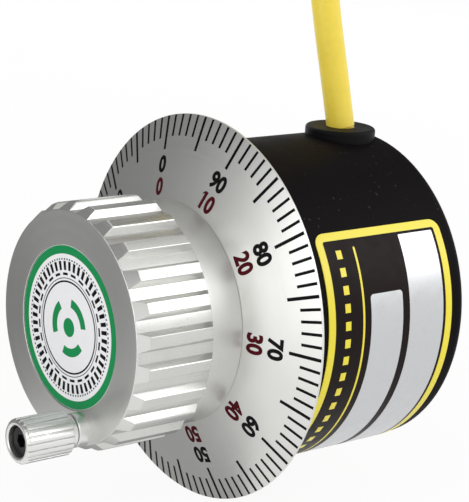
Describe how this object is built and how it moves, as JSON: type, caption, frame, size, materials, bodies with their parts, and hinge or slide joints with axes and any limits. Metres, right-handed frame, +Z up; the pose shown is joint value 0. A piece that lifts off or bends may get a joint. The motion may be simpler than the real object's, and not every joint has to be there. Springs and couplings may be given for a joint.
{
  "type": "pulse generator handwheel",
  "caption": "Panel mounted pulse generator handwheel: castellated aluminium knob with crank handle, engraved conical dial, black cylindrical housing and yellow cable.",
  "frame": {"origin": "where the wheel's axis meets the housing's front face, which bears on the rear of the machine panel", "axes": "-Y along the wheel's axis towards the operator, +Z up towards the cable outlet, +X to the operator's right"},
  "size_m": [0.1947, 0.1448, 0.1419],
  "materials": {
    "satin_aluminium": "satin natural anodised, fine turned face",
    "dial_aluminium": "satin natural anodised with printed scale",
    "turned_steel": "bright nickel over turned steel",
    "black_anodised": "matt black anodised aluminium",
    "black_steel": "black oxide steel",
    "zinc_steel": "zinc plated steel",
    "ground_steel": "ground steel",
    "disc_steel": "etched sheet steel",
    "bearing_steel": "polished bearing steel",
    "spring_steel": "blued spring steel",
    "bare_aluminium": "machined aluminium",
    "brass": "turned brass",
    "seal_rubber": "nitrile rubber",
    "grommet_black": "moulded rubber, slight sheen",
    "board_green": "solder mask",
    "moulded_black": "moulded black plastic",
    "moulded_cream": "moulded cream plastic",
    "nylon_white": "natural nylon",
    "core_insulation": "coloured core insulation",
    "cable_sheath": "yellow polyurethane sheath",
    "strap_black": "woven hook and loop strap",
    "label_foil": "printed foil label, yellow border",
    "face_print": "printed face label, green border"
  },
  "bodies": {
    "housing": {"rear_cover": "black_anodised", "front_flange": "black_anodised", "cover_seal": "seal_rubber", "cover_screws": "black_steel", "lower_posts": "brass", "upper_posts": "brass", "shaft_seal": "seal_rubber", "front_bearing_outer": "bearing_steel", "rear_bearing_outer": "bearing_steel", "bearing_circlip": "spring_steel", "detent_block": "bare_aluminium", "detent_block_screws": "zinc_steel", "detent_ball": "bearing_steel", "detent_spring": "spring_steel", "detent_grub_screw": "black_steel", "circuit_board": "board_green", "board_chips": "moulded_black", "reader_block": "moulded_black", "wire_socket": "moulded_cream", "inner_wires": "core_insulation", "cable_stub": "cable_sheath", "cable_tie": "nylon_white", "cable_grommet": "grommet_black", "housing_label": "label_foil", "cable_lead": "cable_sheath", "cable_coil": "cable_sheath", "coil_ties": "strap_black", "cable_end": "cable_sheath", "bare_wires": "core_insulation"},
    "wheel": {"shaft": "ground_steel", "front_bearing_inner": "bearing_steel", "rear_bearing_inner": "bearing_steel", "bearing_spacer": "bare_aluminium", "shaft_circlip": "spring_steel", "detent_wheel": "ground_steel", "disc_hub": "bare_aluminium", "slotted_disc": "disc_steel", "disc_screw": "black_steel", "knob": "satin_aluminium", "dial": "dial_aluminium", "dial_screws": "zinc_steel", "knob_screw": "black_steel", "face_label": "face_print", "crank_spindle": "turned_steel", "crank_screw": "black_steel"},
    "crank": {"crank_grip": "turned_steel"},
    "front_cage": {"front_ball_cage": "brass", "front_balls": "bearing_steel"},
    "rear_cage": {"rear_ball_cage": "brass", "rear_balls": "bearing_steel"}
  },
  "joints": [
    {"name": "wheel_spin", "type": "hinge", "parent": "housing", "child": "wheel", "pos_m": [0, 0, 0], "axis": [0, 1, 0], "continuous": true},
    {"name": "crank_spin", "type": "hinge", "parent": "wheel", "child": "crank", "pos_m": [0.00618, 0, -0.01902], "axis": [0, 1, 0], "continuous": true},
    {"name": "front_cage_spin", "type": "hinge", "parent": "housing", "child": "front_cage", "pos_m": [0, 0, 0], "axis": [0, 1, 0], "continuous": true},
    {"name": "rear_cage_spin", "type": "hinge", "parent": "housing", "child": "rear_cage", "pos_m": [0, 0, 0], "axis": [0, 1, 0], "continuous": true}
  ],
  "couplings": [
    {"joint": "front_cage_spin", "follows": "wheel_spin", "ratio": 0.368},
    {"joint": "rear_cage_spin", "follows": "wheel_spin", "ratio": 0.368}
  ]
}
